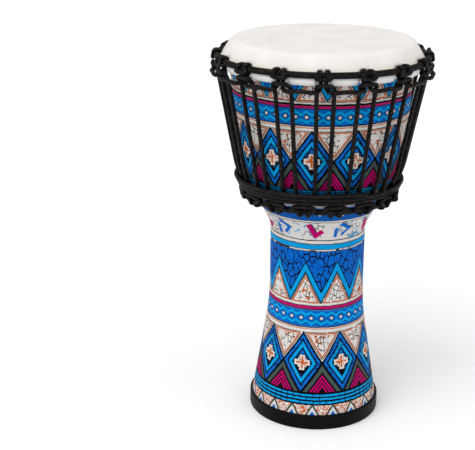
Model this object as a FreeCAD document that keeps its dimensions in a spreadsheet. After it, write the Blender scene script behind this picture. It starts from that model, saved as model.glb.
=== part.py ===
import FreeCAD, Part
import math
import os

import Sketcher
from FreeCAD import Placement, Rotation, Vector

# A rope-tuned goblet drum, standing on its foot. Millimetres, +Z up, the drum's axis on Z, and
# the origin at the centre of the rubber foot's flat underside. Azimuths are degrees from +X.

doc = FreeCAD.newDocument("djembe")
sheet = doc.addObject("Spreadsheet::Sheet", "dims")

SIZES = (
    # The moulded shell's outer outline, from the foot up.
    ("wall", 4.5),
    ("foot_r", 66.45),
    ("foot_z", 3.0),
    ("ankle_z", 12.0),
    ("waist_r", 48.75),
    ("waist_z", 120.0),
    ("waist_bend", 300.0),
    ("neck_z", 207.7),
    ("neck_bend", 30.0),
    ("seam_r", 63.98),
    ("seam_z", 237.0),
    ("stem_top_r", 63.77),
    ("stem_top_z", 236.6),
    ("knee_r", 78.85),
    ("knee_z", 265.6),
    ("knee_bend", 40.0),
    ("belly_r", 88.05),
    ("belly_z", 312.0),
    ("belly_bend", 480.0),
    ("rim_r", 92.4),
    ("rim_z", 398.9),
    ("rim_bend", 3.8),
    ("drum_height", 400.0),
    # The printed cloth glued round it.
    ("cloth", 0.5),
    ("glue", 0.05),
    ("cloth_top_r", 91.35),
    ("cloth_top_z", 378.0),
    ("cloth_low_z", 4.0),
    # The rubber foot.
    ("rubber_r", 69.1),
    ("rubber_z", 15.9),
    ("rubber_bend", 1.5),
    ("rubber_top_r", 66.7),
    ("rubber_in_r", 67.2),
    ("rubber_lip_r", 60.0),
    # The skin and the steel hoop in its fold.
    ("skin", 0.8),
    ("head_edge_r", 91.15),
    ("head_edge_bend", 4.75),
    ("head_inside_r", 90.7),
    ("head_inside_bend", 3.95),
    ("slope_z", 389.6),
    ("slope_bend", 8.0),
    ("slope_inside_z", 389.4),
    ("slope_inside_bend", 7.2),
    ("hoop_r", 94.8),
    ("hoop_z", 375.4),
    ("hoop_wire", 1.5),
    ("fold_room", 1.7),
    ("fold_bend", 2.3),
    ("fold_end_z", 377.2),
    # The two sleeved steel rings.
    ("ring_wire", 2.2),
    ("sleeve_fit", 0.05),
    ("sleeve_r", 3.15),
    ("crown_r", 105.0),
    ("crown_z", 382.3),
    ("base_ring_r", 75.8),
    ("base_ring_z", 241.5),
    # The ropes: hitches round the rings, runs between them, and the surplus turns.
    ("rope_r", 2.1),
    ("knots", 16),
    ("first_knot", 1.0),
    # A hitch's strand goes behind its ring, over it and down its front to the hitch's bar.
    ("wrap_r", 5.3),
    ("wrap_bend", 5.25),
    ("behind_along", 3.8),
    ("over_along", 4.0),
    ("front_along", 4.4),
    ("bar_along", 4.6),
    ("bar_bend", 2.2),
    ("crown_neck", 1.4),
    ("crown_bar", 4.1),
    ("base_neck", 1.6),
    ("base_bar", 2.4),
    # Under the crown ring the strands come out between the runs, and part into the spans.
    ("strand_along", 3.9),
    ("strand_out", 0.2),
    ("strand_drop", 14.9),
    ("strand_bend", 3.0),
    ("parting_along", 8.2),
    ("parting_drop", 16.9),
    ("parting_bend", 4.0),
    ("span_out", 5.4),
    ("span_drop", 13.6),
    ("span_bend", 40.0),
    ("lead_in", 1.5),
    ("lead_in_bend", 6.0),
    # The runs, from the arch over each knot down to the bottom ring.
    ("arch_along", 5.4),
    ("arch_drop", 9.2),
    ("arch_bend", 2.8),
    ("run_angle", 4.95),
    ("run_top_r", 105.2),
    ("run_top_z", 369.5),
    ("run_top_bend", 3.5),
    ("run_low_r", 84.6),
    ("run_low_z", 266.5),
    ("run_low_bend", 15.0),
    ("run_foot_r", 77.4),
    ("run_foot_z", 255.3),
    ("run_foot_bend", 12.0),
    ("run_foot_angle", 6.3),
    ("joint_knots", 2.5),
    ("half_gap", 0.2),
    ("surplus_turns", 3),
    ("surplus_start", -28.0),
    ("surplus_start_r", 86.6),
    ("surplus_r", 80.3),
    ("surplus_z", 248.6),
    ("surplus_r_step", 2.0),
    ("surplus_z_step", 4.15),
    ("knot_r", 3.6),
    ("knot_length", 8.0),
    ("tail_length", 21.0),
)

for row, (name, number) in enumerate(SIZES, start=1):
    sheet.set("A%d" % row, name)
    sheet.set("B%d" % row, str(number))
    sheet.setAlias("B%d" % row, name)
doc.recompute()


def size(name):
    return float(sheet.get(name))


def total(words):
    """The value of a sum of sheet names, such as 'rim_r - wall'."""
    result = 0.0
    sign = 1.0
    for word in words.split():
        if word in "+-":
            sign = -1.0 if word == "-" else 1.0
        else:
            result += sign * size(word)
    return result


def bound(words):
    """The same sum as a FreeCAD expression."""
    return " ".join(word if word in "+-" else "dims." + word for word in words.split())


# ---- turned pieces: a sketch of straight sides and rounded corners, revolved about Z ----

def origin_plane(body, role):
    return [plane for plane in body.Origin.OriginFeatures if plane.Role == role][0]


def outline_sketch(body, name, corners):
    """A closed outline through (radius, height, bend) corners, each named in sheet words."""
    sketch = body.newObject("Sketcher::SketchObject", name)
    sketch.AttachmentSupport = (origin_plane(body, "XZ_Plane"), [""])
    sketch.MapMode = "FlatFace"
    places = [Vector(total(r) if r else 0.0, total(z) if z else 0.0, 0) for r, z, bend in corners]
    count = len(places)

    def trimmed(index, towards):
        """The point where the side from a corner towards its neighbour starts."""
        bend = corners[index][2]
        here = places[index]
        if not bend:
            return here
        into = (here - places[index - 1]).normalize()
        out = (places[(index + 1) % count] - here).normalize()
        cut = total(bend) * math.tan(into.getAngle(out) / 2)
        return here + (places[towards % count] - here).normalize() * cut

    sides = []
    for index in range(count):
        start = trimmed(index, index + 1)
        end = trimmed((index + 1) % count, index)
        sides.append(sketch.addGeometry(Part.LineSegment(start, end), False))

    def pin(geometry, vertex, r_words, z_words):
        """Hold a point at its radius and height."""
        if r_words:
            held = Sketcher.Constraint("DistanceX", -1, 1, geometry, vertex, total(r_words))
            sketch.setExpression("Constraints[%d]" % sketch.addConstraint(held), bound(r_words))
        else:
            sketch.addConstraint(Sketcher.Constraint("PointOnObject", geometry, vertex, -2))
        if z_words:
            held = Sketcher.Constraint("DistanceY", -1, 1, geometry, vertex, total(z_words))
            sketch.setExpression("Constraints[%d]" % sketch.addConstraint(held), bound(z_words))
        else:
            sketch.addConstraint(Sketcher.Constraint("PointOnObject", geometry, vertex, -1))

    for index, (r_words, z_words, bend) in enumerate(corners):
        before = sides[index - 1]
        after = sides[index]
        if not bend:
            sketch.addConstraint(Sketcher.Constraint("Coincident", before, 2, after, 1))
            pin(after, 1, r_words, z_words)
            continue
        radius = total(bend)
        enter = trimmed(index, index - 1)
        leave = trimmed(index, index + 1)
        into = (places[index] - enter).normalize()
        turns_left = into.cross(leave - places[index]).z > 0
        side = Vector(-into.y, into.x, 0) if turns_left else Vector(into.y, -into.x, 0)
        centre = enter + side * radius
        first, last = (enter, leave) if turns_left else (leave, enter)
        angles = [math.atan2(p.y - centre.y, p.x - centre.x) for p in (first, last)]
        if angles[1] < angles[0]:
            angles[1] += 2 * math.pi
        circle = Part.Circle(centre, Vector(0, 0, 1), radius)
        arc = sketch.addGeometry(Part.ArcOfCircle(circle, angles[0], angles[1]), False)
        corner = sketch.addGeometry(Part.Point(places[index]), True)
        enter_end, leave_end = (1, 2) if turns_left else (2, 1)
        sketch.addConstraint(Sketcher.Constraint("Tangent", before, 2, arc, enter_end))
        sketch.addConstraint(Sketcher.Constraint("Tangent", arc, leave_end, after, 1))
        sketch.addConstraint(Sketcher.Constraint("PointOnObject", corner, 1, before))
        sketch.addConstraint(Sketcher.Constraint("PointOnObject", corner, 1, after))
        held = sketch.addConstraint(Sketcher.Constraint("Radius", arc, radius))
        sketch.setExpression("Constraints[%d]" % held, bound(bend))
        pin(corner, 1, r_words, z_words)
    return sketch


def turned(name, corners):
    body = doc.addObject("PartDesign::Body", name)
    sketch = outline_sketch(body, name + "_outline", corners)
    doc.recompute()
    revolution = body.newObject("PartDesign::Revolution", name + "_turning")
    revolution.Profile = (sketch, [""])
    revolution.ReferenceAxis = (sketch, ["V_Axis"])
    revolution.Angle = 360
    sketch.Visibility = False
    return body


def shell():
    """The goblet: a hollow foot and stem, a cone-shaped neck and a bowl with a rounded rim."""
    return turned("shell", (
        ("foot_r", "foot_z", None),
        ("foot_r", "ankle_z", None),
        ("waist_r", "waist_z", "waist_bend"),
        ("waist_r", "neck_z", "neck_bend"),
        ("knee_r", "knee_z", "knee_bend"),
        ("belly_r", "belly_z", "belly_bend"),
        ("rim_r", "rim_z", "rim_bend"),
        ("rim_r - wall", "rim_z", None),
        ("belly_r - wall", "belly_z", "belly_bend"),
        ("knee_r - wall", "knee_z", "knee_bend"),
        ("waist_r - wall", "neck_z", "neck_bend"),
        ("waist_r - wall", "waist_z", "waist_bend"),
        ("foot_r - wall", "ankle_z", None),
        ("foot_r - wall", "foot_z", None),
    ))


def bowl_wrap():
    """The bowl's cloth, from the seam under the ropes to under the skin's fold."""
    return turned("bowl_wrap", (
        ("seam_r + glue + cloth", "seam_z", None),
        ("knee_r + glue + cloth", "knee_z", "knee_bend"),
        ("belly_r + glue + cloth", "belly_z", "belly_bend"),
        ("cloth_top_r + glue + cloth", "cloth_top_z", None),
        ("cloth_top_r + glue", "cloth_top_z", None),
        ("belly_r + glue", "belly_z", "belly_bend"),
        ("knee_r + glue", "knee_z", "knee_bend"),
        ("seam_r + glue", "seam_z", None),
    ))


def stem_wrap():
    """The stem's cloth, from inside the rubber foot to the seam."""
    return turned("stem_wrap", (
        ("foot_r + glue + cloth", "cloth_low_z", None),
        ("foot_r + glue + cloth", "ankle_z", None),
        ("waist_r + glue + cloth", "waist_z", "waist_bend"),
        ("waist_r + glue + cloth", "neck_z", "neck_bend"),
        ("stem_top_r + glue + cloth", "stem_top_z", None),
        ("stem_top_r + glue", "stem_top_z", None),
        ("waist_r + glue", "neck_z", "neck_bend"),
        ("waist_r + glue", "waist_z", "waist_bend"),
        ("foot_r + glue", "ankle_z", None),
        ("foot_r + glue", "cloth_low_z", None),
    ))


def rubber_foot():
    """A rubber ring round the foot, with a lip under the shell that the drum stands on."""
    return turned("rubber_foot", (
        ("rubber_lip_r", None, None),
        ("rubber_r", None, "rubber_bend"),
        ("rubber_r", "rubber_z", "rubber_bend"),
        ("rubber_top_r", "rubber_z", None),
        ("rubber_in_r", "ankle_z", None),
        ("rubber_in_r", "foot_z", None),
        ("rubber_lip_r", "foot_z", None),
    ))


def drum_head():
    """The skin: flat, out and down from the rim as a skirt, and folded in round the hoop."""
    return turned("drum_head", (
        (None, "drum_height", None),
        (None, "drum_height - skin", None),
        ("head_inside_r", "drum_height - skin", "head_inside_bend"),
        ("hoop_r + fold_room", "slope_inside_z", "slope_inside_bend"),
        ("hoop_r + fold_room", "hoop_z - fold_room", "hoop_wire"),
        ("hoop_r - fold_room", "hoop_z - fold_room", "hoop_wire"),
        ("hoop_r - fold_room", "fold_end_z", None),
        ("hoop_r - fold_room - skin", "fold_end_z", None),
        ("hoop_r - fold_room - skin", "hoop_z - fold_room - skin", "fold_bend"),
        ("hoop_r + fold_room + skin", "hoop_z - fold_room - skin", "fold_bend"),
        ("hoop_r + fold_room + skin", "slope_z", "slope_bend"),
        ("head_edge_r", "drum_height", "head_edge_bend"),
    ))


# ---- rings ----

def ring(name, radius, wire, height):
    torus = doc.addObject("Part::Torus", name)
    torus.setExpression("Radius1", bound(radius))
    torus.setExpression("Radius2", bound(wire))
    torus.setExpression("Placement.Base.z", bound(height))
    return torus


def sleeve(name, radius, height):
    """A braided sleeve: a tube closed into a ring, just clear of its steel core."""
    cut = doc.addObject("Part::Cut", name)
    cut.Base = ring(name + "_outside", radius, "sleeve_r", height)
    cut.Tool = ring(name + "_inside", radius, "ring_wire + sleeve_fit", height)
    return cut


# ---- ropes: round tubes along straight runs joined by tangent arcs ----

def polar(radius, azimuth, height):
    turn = math.radians(azimuth)
    return Vector(radius * math.cos(turn), radius * math.sin(turn), height)


def rounded_path(stations):
    """A wire through (point, bend) stations; a bend of None is as large as its runs allow."""
    most_of_run = 0.499
    points = [point for point, bend in stations]
    edges = []
    begin = points[0]
    for index in range(1, len(points) - 1):
        here = points[index]
        into = here - points[index - 1]
        out = points[index + 1] - here
        half_turn = math.tan(into.getAngle(out) / 2)
        bend = stations[index][1]
        cut = bend * half_turn if bend else most_of_run * min(into.Length, out.Length)
        enter = here - into.normalize() * cut
        leave = here + out.normalize() * cut
        inward = (leave - here).normalize() + (enter - here).normalize()
        radius = cut / half_turn
        middle = here + inward.normalize() * (math.hypot(radius, cut) - radius)
        if (enter - begin).Length > 1e-4:
            edges.append(Part.LineSegment(begin, enter).toShape())
        edges.append(Part.Arc(enter, middle, leave).toShape())
        begin = leave
    edges.append(Part.LineSegment(begin, points[-1]).toShape())
    return Part.Wire(edges)


def rope(name, stations):
    """A rope along the stations, checked against its section times its length."""
    path = rounded_path(stations)
    start = path.Edges[0]
    circle = Part.Circle(start.valueAt(start.FirstParameter), start.tangentAt(start.FirstParameter),
                         size("rope_r"))
    tube = path.makePipe(Part.Face(Part.Wire(circle.toShape())))
    expected = math.pi * size("rope_r") ** 2 * path.Length
    if abs(tube.Volume - expected) > 0.01 * expected:
        raise RuntimeError("%s has volume %.0f, expected %.0f" % (name, tube.Volume, expected))
    print("%s: %.0f mm long" % (name, path.Length))
    feature = doc.addObject("Part::Feature", name)
    feature.Shape = tube
    return feature


def beside(ring_r, ring_z, azimuth, along, out, up):
    """A point beside a ring: along its curve, outwards and upwards from its wire's centre."""
    radius = ring_r + out
    return polar(radius, azimuth + math.degrees(along / radius), ring_z + up)


def half_hitch(ring_r, ring_z, azimuth, side, up, neck, bar):
    """Half of a cow hitch on a ring, from its standing strand to the middle of its bar.

    side is -1 or 1 along the ring, and up is 1 for a strand that hangs below the ring and -1
    for one that rises above it. Past the ring's centre towards that strand, neck is how far
    the strand keeps to the ring's inner side and bar is how far its outer side reaches.
    """
    wrap = size("wrap_r")
    places = (
        (size("behind_along"), -wrap, -up * neck, wrap),
        (size("over_along"), -wrap, up * wrap, size("wrap_bend")),
        (size("front_along"), wrap, up * wrap, size("wrap_bend")),
        (size("bar_along"), wrap, -up * bar, size("bar_bend")),
    )
    return [(beside(ring_r, ring_z, azimuth, side * along, out, rise), bend)
            for along, out, rise, bend in places]


def at_crown(azimuth, along, out, drop):
    return beside(size("crown_r"), size("crown_z"), azimuth, along, out, -drop)


def crown_cradle_rope():
    """One rope round the crown ring: a cow hitch at each knot and a span to the next."""
    knots = int(size("knots"))
    pitch = 360.0 / knots
    span_out = size("span_out")
    stations = []
    for knot in range(1, knots + 1):
        azimuth = size("first_knot") + knot * pitch
        for side in (-1, 1):
            parting = at_crown(azimuth, side * size("parting_along"), span_out, size("parting_drop"))
            strand = at_crown(azimuth, side * size("strand_along"), size("strand_out"),
                              size("strand_drop"))
            half = [(parting, size("parting_bend")), (strand, size("strand_bend"))]
            half += half_hitch(size("crown_r"), size("crown_z"), azimuth, side, 1,
                               size("crown_neck"), size("crown_bar"))
            stations += half if side < 0 else half[::-1]
        span = at_crown(azimuth + pitch / 2, 0, span_out, size("span_drop"))
        stations.append((span, size("span_bend")))
    # The two ends meet at the joining knot, in the middle of the last span.
    middle = stations.pop()[0]
    along = polar(1, size("first_knot") + pitch / 2 + 90, 0)
    end = along * (size("knot_length") / 2)
    lead = end + along * size("lead_in")
    bend = size("lead_in_bend")
    stations = [(middle + end, None), (middle + lead, bend)] + stations
    stations += [(middle - lead, bend), (middle - end, None)]
    return rope("crown_cradle_rope", stations)


def tension_rope():
    """One rope, up and down the bowl: over each neck of the cradle, and hitched to the ring below."""
    base = (size("base_ring_r"), size("base_ring_z"))
    grip = (-1, size("base_neck"), size("base_bar"))
    knots = int(size("knots"))
    pitch = 360.0 / knots
    stations = []
    for knot in range(-2, knots - 2):
        azimuth = size("first_knot") + knot * pitch
        stations += half_hitch(*base, azimuth - pitch / 2, 1, *grip)[::-1]
        for side in (-1, 1):
            edge = azimuth + side * size("run_angle")
            foot = azimuth + side * (pitch / 2 - size("run_foot_angle"))
            arch = at_crown(azimuth, side * size("arch_along"), size("wrap_r"), size("arch_drop"))
            half = [
                (polar(size("run_foot_r"), foot, size("run_foot_z")), size("run_foot_bend")),
                (polar(size("run_low_r"), edge, size("run_low_z")), size("run_low_bend")),
                (polar(size("run_top_r"), edge, size("run_top_z")), size("run_top_bend")),
                (arch, size("arch_bend")),
            ]
            stations += half if side < 0 else half[::-1]
        stations += half_hitch(*base, azimuth + pitch / 2, -1, *grip)
    # The rope starts and ends in the middle of one lower hitch's bar.
    joint = size("first_knot") - size("joint_knots") * pitch
    middle = beside(*base, joint, 0, size("wrap_r"), size("base_bar"))
    across = polar(size("half_gap"), joint + 90, 0)
    stations.insert(0, (middle + across, None))
    stations.append((middle - across, None))
    return rope("tension_rope", stations)


def surplus_stations():
    """The surplus winding's corners: from its knot, and upwards round the bowl."""
    steps_a_turn = 12
    stations = [(polar(size("surplus_start_r"), size("surplus_start"), size("surplus_z")), None)]
    for step in range(1, steps_a_turn * int(size("surplus_turns"))):
        turn = step / steps_a_turn
        radius = size("surplus_r") + size("surplus_r_step") * turn
        height = size("surplus_z") + size("surplus_z_step") * turn
        azimuth = size("surplus_start") + 360.0 * turn
        stations.append((polar(radius / math.cos(math.pi / steps_a_turn), azimuth, height), None))
    return stations


def surplus_rope():
    """The spare length, wound round the bowl outside the rope's upright runs."""
    return rope("surplus_rope", surplus_stations())


def knot(name, start, direction):
    """A tight knot, as a barrel that lies along the rope."""
    barrel = doc.addObject("Part::Cylinder", name)
    barrel.setExpression("Radius", "dims.knot_r")
    barrel.setExpression("Height", "dims.knot_length")
    barrel.Placement = Placement(start, Rotation(Vector(0, 0, 1), direction))
    return barrel


def surplus_rope_knot():
    face, following = [point for point, bend in surplus_stations()[:2]]
    ahead = (following - face).normalize()
    return knot("surplus_rope_knot", face - ahead * size("knot_length"), ahead)


def cradle_rope_tail():
    """The joining knot in the cradle rope's last span, and its free end standing up from it."""
    azimuth = size("first_knot") + 180.0 / size("knots")
    along = polar(1, azimuth + 90, 0)
    middle = at_crown(azimuth, 0, size("span_out"), size("span_drop"))
    end = doc.addObject("Part::Cylinder", "cradle_rope_end")
    end.setExpression("Radius", "dims.rope_r")
    end.setExpression("Height", "dims.tail_length")
    end.Placement = Placement(middle + polar(size("half_gap"), azimuth, 0), Rotation())
    joined = doc.addObject("Part::Fuse", "cradle_rope_tail")
    joined.Base = knot("cradle_rope_joint", middle - along * (size("knot_length") / 2), along)
    joined.Tool = end
    return joined


pieces = [
    shell(),
    bowl_wrap(),
    stem_wrap(),
    rubber_foot(),
    drum_head(),
    ring("flesh_hoop", "hoop_r", "hoop_wire", "hoop_z"),
    ring("crown_ring", "crown_r", "ring_wire", "crown_z"),
    sleeve("crown_ring_sleeve", "crown_r", "crown_z"),
    crown_cradle_rope(),
    cradle_rope_tail(),
    ring("bottom_ring", "base_ring_r", "ring_wire", "base_ring_z"),
    sleeve("bottom_ring_sleeve", "base_ring_r", "base_ring_z"),
    tension_rope(),
    surplus_rope(),
    surplus_rope_knot(),
]

doc.recompute()

for item in doc.Objects:
    if "Invalid" in item.State or "Error" in item.State:
        raise RuntimeError("%s failed: %s" % (item.Name, item.State))
for piece in pieces:
    if piece.Shape.isNull() or not piece.Shape.isValid():
        raise RuntimeError("%s has no valid shape" % piece.Name)

os.makedirs("parts", exist_ok=True)
for piece in pieces:
    piece.Label = piece.Name
    piece.Shape.exportStep("parts/%s.step" % piece.Label)
    box = piece.Shape.optimalBoundingBox(False)
    print("%-20s %2d solid, z %7.1f to %7.1f, volume %9.0f" % (
        piece.Label, len(piece.Shape.Solids), box.ZMin, box.ZMax, piece.Shape.Volume))
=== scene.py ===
import math

import bpy
import numpy as np
from mathutils import Matrix, Vector
from mathutils.bvhtree import BVHTree


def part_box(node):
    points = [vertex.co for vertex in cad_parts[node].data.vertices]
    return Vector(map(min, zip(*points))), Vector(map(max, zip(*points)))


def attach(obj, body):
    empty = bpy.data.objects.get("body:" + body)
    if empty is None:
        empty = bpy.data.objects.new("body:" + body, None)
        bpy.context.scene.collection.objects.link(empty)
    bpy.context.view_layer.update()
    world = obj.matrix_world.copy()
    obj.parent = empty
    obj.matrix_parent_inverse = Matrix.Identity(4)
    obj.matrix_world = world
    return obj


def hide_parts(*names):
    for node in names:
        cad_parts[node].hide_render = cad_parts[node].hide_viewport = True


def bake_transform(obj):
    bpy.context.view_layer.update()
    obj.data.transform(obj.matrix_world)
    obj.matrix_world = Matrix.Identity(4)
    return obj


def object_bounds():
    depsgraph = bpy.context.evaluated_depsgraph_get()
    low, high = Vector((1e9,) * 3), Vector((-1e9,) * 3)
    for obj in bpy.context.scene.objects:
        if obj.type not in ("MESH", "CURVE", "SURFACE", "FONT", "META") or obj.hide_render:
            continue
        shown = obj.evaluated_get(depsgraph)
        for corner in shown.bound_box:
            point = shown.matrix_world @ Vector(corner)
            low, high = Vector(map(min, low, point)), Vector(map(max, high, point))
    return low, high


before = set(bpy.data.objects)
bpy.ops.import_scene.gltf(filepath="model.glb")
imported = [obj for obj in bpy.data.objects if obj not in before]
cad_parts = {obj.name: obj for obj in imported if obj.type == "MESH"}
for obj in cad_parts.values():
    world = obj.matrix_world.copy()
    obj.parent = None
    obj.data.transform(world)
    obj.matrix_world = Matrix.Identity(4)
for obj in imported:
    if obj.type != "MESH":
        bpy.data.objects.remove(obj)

# A rope-tuned goblet drum standing on a pale studio floor. Metres, +Z up, the drum's axis on Z.
# Bearings are degrees round that axis, measured from the front (-Y) towards the right (+X).

CAD_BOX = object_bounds()
MM = 0.001
FULL_TURN = 2 * math.pi


# ---- places read from the CAD parts in model.glb ----

class Ring:
    """The centre line of one of the drum's round steel rings."""

    def __init__(self, node):
        low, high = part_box(node)
        wire = (high.z - low.z) / 2
        self.radius = (high.x - low.x) / 2 - wire
        self.height = (high.z + low.z) / 2

    def beside(self, bearing, along=0.0, out=0.0, up=0.0):
        """A point beside the ring: along it, outwards and upwards, in millimetres."""
        radius = self.radius + out * MM
        return polar(radius, bearing + math.degrees(along * MM / radius), self.height + up * MM)


def polar(radius, bearing, height):
    """The point at a distance from the drum's axis, a bearing and a height."""
    turn = math.radians(bearing)
    return Vector((radius * math.sin(turn), -radius * math.cos(turn), height))


CROWN = Ring("crown_ring")
BASE = Ring("bottom_ring")
HOOP = Ring("flesh_hoop")
SLEEVE_LOW, SLEEVE_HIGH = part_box("crown_ring_sleeve")
SLEEVE_RADIUS = (SLEEVE_HIGH.z - SLEEVE_LOW.z) / 2
# The knots on the crown ring are evenly spaced, and one of them is just past the front.
KNOTS = 16
KNOT_STEP = 360.0 / KNOTS
FIRST_KNOT = 1.0


# ---- colours and shader maths ----

def colour(red, green, blue):
    """A screen colour from 0 to 255 as the linear colour that a shader takes."""
    parts = [part / 255 for part in (red, green, blue)]
    return (*(p / 12.92 if p <= 0.04045 else ((p + 0.055) / 1.055) ** 2.4 for p in parts), 1.0)


WHITE = colour(210, 207, 203)
BLACK = colour(4, 3, 8)
BLUE = colour(0, 98, 192)
SKY = colour(0, 148, 214)
NAVY = colour(0, 76, 172)
MAGENTA = colour(176, 0, 98)
ORANGE = colour(186, 86, 8)
MOSS = colour(64, 78, 74)

# How wide the change from one colour to the next is, in millimetres, where a field is a
# distance. A mask made from any other field says its own.
SOFT = 0.2


class Field:
    """A number at each point of a surface, worked out by shader nodes."""

    def __init__(self, tree, socket):
        self.tree = tree
        self.socket = socket

    def maths(self, operation, *inputs, clamp=False):
        node = self.tree.nodes.new("ShaderNodeMath")
        node.operation = operation
        node.use_clamp = clamp
        for into, value in zip(node.inputs, inputs):
            if isinstance(value, Field):
                self.tree.links.new(value.socket, into)
            else:
                into.default_value = value
        return Field(self.tree, node.outputs[0])

    def __add__(self, other):
        return self.maths("ADD", self, other)

    def __sub__(self, other):
        return self.maths("SUBTRACT", self, other)

    def __mul__(self, other):
        return self.maths("MULTIPLY", self, other)

    def __abs__(self):
        return self.maths("ABSOLUTE", self)

    def scaled(self, factor, offset, clamp=False):
        return self.maths("MULTIPLY_ADD", self, factor, offset, clamp=clamp)

    def below(self, edge, soft=SOFT):
        """1 where this is under a number, 0 where it is over it, and soft at the edge."""
        return self.scaled(-1 / soft, edge / soft + 0.5, clamp=True)

    def above(self, edge, soft=SOFT):
        """1 where this is over a number, 0 where it is under it, and soft at the edge."""
        return self.scaled(1 / soft, 0.5 - edge / soft, clamp=True)

    def within(self, low, high, soft=SOFT):
        """1 where this is between two numbers, 0 elsewhere, and soft at both edges."""
        return abs(self - (low + high) / 2).below((high - low) / 2, soft)

    def smallest(self, other):
        return self.maths("MINIMUM", self, other)

    def largest(self, other):
        return self.maths("MAXIMUM", self, other)

    def repeated(self, start, step):
        """The distance from the nearest of the places start, start + step, and so on."""
        share = self.scaled(1 / step, 0.5 - start / step)
        return (share.maths("FRACT", share) - 0.5) * step


def arc(radius):
    """The length of one degree of a circle."""
    return radius * FULL_TURN / 360


class Cloth:
    """Paint on a cloth: a stack of colours, each laid through a mask. Sizes are millimetres.

    up is the height on the cloth and bearing the place round it, both a little uneven as in
    a hand print. level is the true height. flat is a place on the cloth rolled out, for a
    cloth of about one radius. top is the paint so far.
    """

    def __init__(self, name, ground, radius):
        self.material = bpy.data.materials.new(name)
        self.material.use_nodes = True
        self.tree = self.material.node_tree
        place = self.tree.nodes.new("ShaderNodeTexCoord")
        self.place = place.outputs["Object"]
        apart = self.tree.nodes.new("ShaderNodeSeparateXYZ")
        self.tree.links.new(self.place, apart.inputs[0])
        x, y, z = (Field(self.tree, output) for output in apart.outputs)
        wobble = (self.noise(130) - 0.5) * 1.5
        quick_wobble = (self.noise(340, shift=3.1) - 0.5) * 0.9
        self.level = z * (1 / MM)
        self.up = self.level + wobble + quick_wobble
        turn = x.maths("ARCTAN2", x, y * -1.0)
        self.bearing = turn * (360 / FULL_TURN) + (quick_wobble - wobble) * 0.7
        flat = self.tree.nodes.new("ShaderNodeCombineXYZ")
        around = self.bearing * arc(radius)
        self.tree.links.new(around.socket, flat.inputs[0])
        self.tree.links.new(self.up.socket, flat.inputs[1])
        self.flat = flat.outputs[0]
        self.top = ground

    def noise(self, scale, detail=2.0, shift=0.0):
        node = self.tree.nodes.new("ShaderNodeTexNoise")
        node.noise_dimensions = "4D"
        node.inputs["W"].default_value = shift
        node.inputs["Scale"].default_value = scale
        node.inputs["Detail"].default_value = detail
        self.tree.links.new(self.place, node.inputs["Vector"])
        return Field(self.tree, node.outputs[0])

    def cracks(self, cell, width, shift=0.0, tall=1.0):
        """Thin broken lines between cells of a size, tall times as high as wide, as a mask."""
        soft = 0.08 / cell
        place = self.tree.nodes.new("ShaderNodeVectorMath")
        place.operation = "MULTIPLY_ADD"
        place.inputs[1].default_value = (1 / cell, 1 / cell / tall, 1)
        place.inputs[2].default_value = (shift * 3.7, shift * 2.3, 0)
        self.tree.links.new(self.flat, place.inputs[0])
        node = self.tree.nodes.new("ShaderNodeTexVoronoi")
        node.feature = "DISTANCE_TO_EDGE"
        node.voronoi_dimensions = "2D"
        node.inputs["Scale"].default_value = 1.0
        self.tree.links.new(place.outputs[0], node.inputs["Vector"])
        lines = Field(self.tree, node.outputs["Distance"]).below(width / cell, soft)
        return lines * self.noise(700 / cell, shift=shift + 5).above(0.45, 0.06)

    def curls(self, scale, width, shift=0.0):
        """Thin curling lines, as a mask."""
        return abs(self.noise(scale, detail=1.0, shift=shift) - 0.5).below(width, width * 0.8)

    def lay(self, paint, mask):
        """Covers what is under it with a colour wherever the mask is 1."""
        mix = self.tree.nodes.new("ShaderNodeMix")
        mix.data_type = "RGBA"
        self.tree.links.new(mask.socket, mix.inputs[0])
        for into, value in ((mix.inputs[6], self.top), (mix.inputs[7], paint)):
            if isinstance(value, Field):
                self.tree.links.new(value.socket, into)
            else:
                into.default_value = value
        self.top = Field(self.tree, mix.outputs[2])

    def stripes(self, *stripes):
        """Plain bands, each a colour, a lowest height and a highest height."""
        for paint, low, high in stripes:
            self.lay(paint, self.up.within(low, high))

    def across(self, start, step, radius):
        """The distance along the cloth from the nearest repeat of a motif, at a band's radius.

        start and step are in degrees, the distance in millimetres.
        """
        return self.bearing.repeated(start, step) * arc(radius)

    def finish(self, roughness):
        """Joins the paint to a woven surface, slightly uneven in tone."""
        tone = self.tree.nodes.new("ShaderNodeHueSaturation")
        self.tree.links.new(self.top.socket, tone.inputs["Color"])
        value = self.noise(45, detail=5, shift=9).scaled(0.34, 0.83)
        self.tree.links.new(value.socket, tone.inputs["Value"])
        shader = self.tree.nodes["Principled BSDF"]
        self.tree.links.new(tone.outputs[0], shader.inputs["Base Color"])
        rough = self.noise(900, shift=2).scaled(0.25, roughness - 0.12)
        self.tree.links.new(rough.socket, shader.inputs["Roughness"])
        shader.inputs["Specular IOR Level"].default_value = 0.05
        # Threads 0.9 millimetres apart up the cloth, and 0.9 degrees apart round it.
        thread = 0.9
        weft = self.level * (FULL_TURN / thread)
        warp = self.bearing * (FULL_TURN / thread)
        weave = weft.maths("SINE", weft) * warp.maths("SINE", warp) + self.noise(1200, shift=4)
        bump(self.tree, weave, shader, 0.25, 0.12 * MM)
        return self.material


def bump(tree, height, shader, strength, distance):
    """Relief on a shader, from a Field of heights."""
    node = tree.nodes.new("ShaderNodeBump")
    node.inputs["Strength"].default_value = strength
    node.inputs["Distance"].default_value = distance
    tree.links.new(height.socket, node.inputs["Height"])
    tree.links.new(node.outputs[0], shader.inputs["Normal"])


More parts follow.
